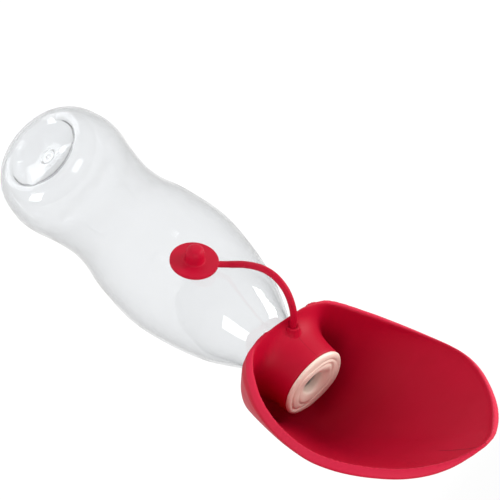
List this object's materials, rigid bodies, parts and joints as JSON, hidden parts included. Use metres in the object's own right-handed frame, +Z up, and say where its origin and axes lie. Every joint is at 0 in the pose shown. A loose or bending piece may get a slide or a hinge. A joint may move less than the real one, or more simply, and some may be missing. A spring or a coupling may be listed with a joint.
{
  "type": "dog travel water bottle",
  "caption": "Clear hourglass water bottle for dogs with a scoop-shaped red silicone bowl on its neck, a pale spout cap and a stopper on a strap.",
  "frame": {"origin": "middle of the bottle's foot, on the plane it stands on", "axes": "+Z up along the bottle's axis to the spout, -Y the side the bowl opens to, +X towards the side the stopper hangs on"},
  "size_m": [0.1, 0.0843, 0.2975],
  "materials": {
    "clear_plastic": "gloss",
    "red_silicone": "satin",
    "pale_plastic": "satin",
    "white_silicone": "satin"
  },
  "bodies": {
    "bottle": {"bottle": "clear_plastic"},
    "washer": {"sealing_washer": "white_silicone"},
    "bowl_unit": {"bowl": "red_silicone", "spout_cap": "pale_plastic", "strap_anchor": "red_silicone", "strap_bend_1": "red_silicone"},
    "strap_lower": {"strap_lower": "red_silicone", "strap_bend_2": "red_silicone"},
    "strap_middle": {"strap_middle": "red_silicone", "strap_bend_3": "red_silicone"},
    "strap_upper": {"strap_upper": "red_silicone", "strap_bend_4": "red_silicone"},
    "stopper": {"stopper": "red_silicone"}
  },
  "joints": [
    {"name": "cap_lift", "type": "slide", "parent": "bottle", "child": "washer", "axis": [0, 0, 1], "range_m": [0, 0.0081]},
    {"name": "cap_turn", "type": "hinge", "parent": "washer", "child": "bowl_unit", "pos_m": [0, 0, 0.19], "axis": [0, 0, 1], "range_deg": [0, 720]},
    {"name": "strap_root_bend", "type": "hinge", "parent": "bowl_unit", "child": "strap_lower", "pos_m": [0.0002, -0.0303, 0.1871], "axis": [-0.9917, -0.0259, 0.1256], "range_deg": [0, 84.91], "stiffness_Nm_per_rad": 0.006, "deforming": ["strap_bend_1"]},
    {"name": "strap_second_bend", "type": "hinge", "parent": "strap_lower", "child": "strap_middle", "pos_m": [0.0009, -0.0434, 0.1799], "axis": [-0.9956, -0.0785, -0.0512], "range_deg": [0, 103.87], "deforming": ["strap_bend_2"]},
    {"name": "strap_third_bend", "type": "hinge", "parent": "strap_middle", "child": "strap_upper", "pos_m": [0.00178, -0.04528, 0.16439], "axis": [-0.9905, 0.136, 0.0181], "range_deg": [0, 130.47], "deforming": ["strap_bend_3"]},
    {"name": "strap_end_bend", "type": "hinge", "parent": "strap_upper", "child": "stopper", "pos_m": [0.0042, -0.0355, 0.1476], "axis": [-0.9947, -0.0896, -0.0499], "range_deg": [-46.21, 0], "deforming": ["strap_bend_4"]}
  ],
  "couplings": [
    {"joint": "cap_lift", "follows": "cap_turn", "m_per_rad": 0.00063662},
    {"joint": "strap_second_bend", "follows": "strap_root_bend", "ratio": 1.223},
    {"joint": "strap_third_bend", "follows": "strap_root_bend", "ratio": 1.5363},
    {"joint": "strap_end_bend", "follows": "strap_root_bend", "ratio": -0.544}
  ]
}
